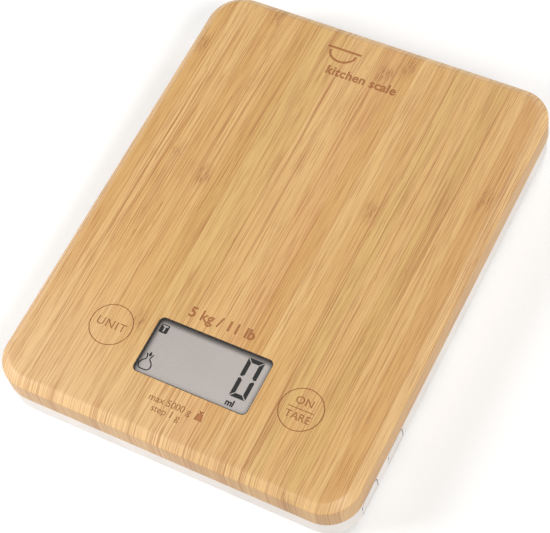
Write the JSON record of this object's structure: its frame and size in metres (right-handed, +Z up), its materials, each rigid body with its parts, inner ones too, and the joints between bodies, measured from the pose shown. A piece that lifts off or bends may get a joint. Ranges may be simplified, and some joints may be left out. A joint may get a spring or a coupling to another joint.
{
  "type": "kitchen scale",
  "caption": "Slim kitchen scale: bamboo platform with a flush display window and touch rings on a shallow white base with weighing feet and hinged side port covers.",
  "frame": {"origin": "centre of the footprint, on the surface that the feet stand on", "axes": "+X to the user's right, +Y away from the user (the display is at the -Y end), +Z up"},
  "size_m": [0.17, 0.22, 0.0293],
  "materials": {
    "bamboo": "satin",
    "white_plastic": "fine satin",
    "lens": "clear",
    "dark_plastic": "matt",
    "lcd": "satin",
    "black_parts": "satin",
    "circuit_board": "satin",
    "capacitor_sleeve": "gloss",
    "spring_wire": "bright",
    "screw_steel": "zinc plated",
    "cell_steel": "stamped",
    "potting": "matt",
    "wire_sleeve": "satin",
    "foot_rubber": "matt",
    "cover_silicone": "matt"
  },
  "bodies": {
    "body": {"bamboo_platform": "bamboo", "base_housing": "white_plastic", "display_lens": "lens", "lcd_frame": "dark_plastic", "lcd_panel": "lcd", "lcd_contact_strip": "black_parts", "main_board": "circuit_board", "controller_chip": "black_parts", "supercapacitor": "capacitor_sleeve", "unit_touch_spring": "spring_wire", "tare_touch_spring": "spring_wire", "board_screw_left": "screw_steel", "board_screw_right": "screw_steel", "frame_screw_left": "screw_steel", "frame_screw_right": "screw_steel", "case_screw_left_front": "screw_steel", "case_screw_left_rear": "screw_steel", "case_screw_right_front": "screw_steel", "case_screw_right_rear": "screw_steel", "case_screw_front": "screw_steel", "case_screw_rear": "screw_steel", "load_cell_front_left": "cell_steel", "strain_gauge_front_left": "potting", "cell_clamp_front_left": "dark_plastic", "foot_carrier_front_left": "white_plastic", "foot_pad_front_left": "foot_rubber", "cell_wires_front_left": "wire_sleeve", "clamp_screw_front_left_front": "screw_steel", "clamp_screw_front_left_rear": "screw_steel", "load_cell_front_right": "cell_steel", "strain_gauge_front_right": "potting", "cell_clamp_front_right": "dark_plastic", "foot_carrier_front_right": "white_plastic", "foot_pad_front_right": "foot_rubber", "cell_wires_front_right": "wire_sleeve", "clamp_screw_front_right_front": "screw_steel", "clamp_screw_front_right_rear": "screw_steel", "load_cell_rear_left": "cell_steel", "strain_gauge_rear_left": "potting", "cell_clamp_rear_left": "dark_plastic", "foot_carrier_rear_left": "white_plastic", "foot_pad_rear_left": "foot_rubber", "cell_wires_rear_left": "wire_sleeve", "clamp_screw_rear_left_front": "screw_steel", "clamp_screw_rear_left_rear": "screw_steel", "load_cell_rear_right": "cell_steel", "strain_gauge_rear_right": "potting", "cell_clamp_rear_right": "dark_plastic", "foot_carrier_rear_right": "white_plastic", "foot_pad_rear_right": "foot_rubber", "cell_wires_rear_right": "wire_sleeve", "clamp_screw_rear_right_front": "screw_steel", "clamp_screw_rear_right_rear": "screw_steel", "port_board": "circuit_board", "usb_socket": "screw_steel", "service_socket": "black_parts", "supply_wires": "wire_sleeve"},
    "usb_cover": {"usb_cover": "cover_silicone"},
    "service_cover": {"service_cover": "cover_silicone"}
  },
  "joints": [
    {"name": "usb_cover_hinge", "type": "hinge", "parent": "body", "child": "usb_cover", "pos_m": [0.0838, -0.0877, 0.0041], "axis": [0, 1, 0], "range_deg": [0, 85], "stiffness_Nm_per_rad": 0.0005},
    {"name": "service_cover_hinge", "type": "hinge", "parent": "body", "child": "service_cover", "pos_m": [0.0838, -0.0632, 0.0041], "axis": [0, 1, 0], "range_deg": [0, 85], "stiffness_Nm_per_rad": 0.0005}
  ]
}
